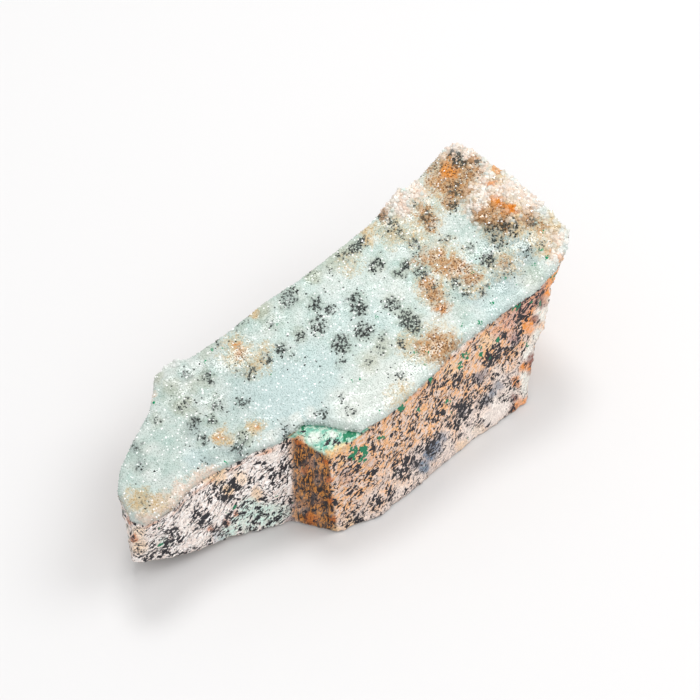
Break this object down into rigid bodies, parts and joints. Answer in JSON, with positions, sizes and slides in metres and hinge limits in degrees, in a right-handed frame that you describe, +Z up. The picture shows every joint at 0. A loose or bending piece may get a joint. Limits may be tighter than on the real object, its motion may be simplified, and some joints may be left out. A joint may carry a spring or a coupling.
{
  "type": "rough chrysocolla malachite specimen",
  "caption": "Broken block of speckled host rock with a stepped side, lying flat under a pale turquoise crust of sugary quartz druse.",
  "frame": {"origin": "centre of the stone's box at the level of the surface it lies on", "axes": "+Z up through the crust, +X along the stone toward its thick end with the quartz knob, -Y toward the stepped side"},
  "size_m": [0.092, 0.0392, 0.0317],
  "materials": {
    "rock": "rough broken rock, cream and peach, speckled black with green malachite and rust",
    "crust": "sparkling drusy quartz over pale turquoise chrysocolla, with smoky and rusty patches"
  },
  "bodies": {
    "root": {"host_rock": "rock", "druse_crust": "crust"}
  },
  "joints": []
}
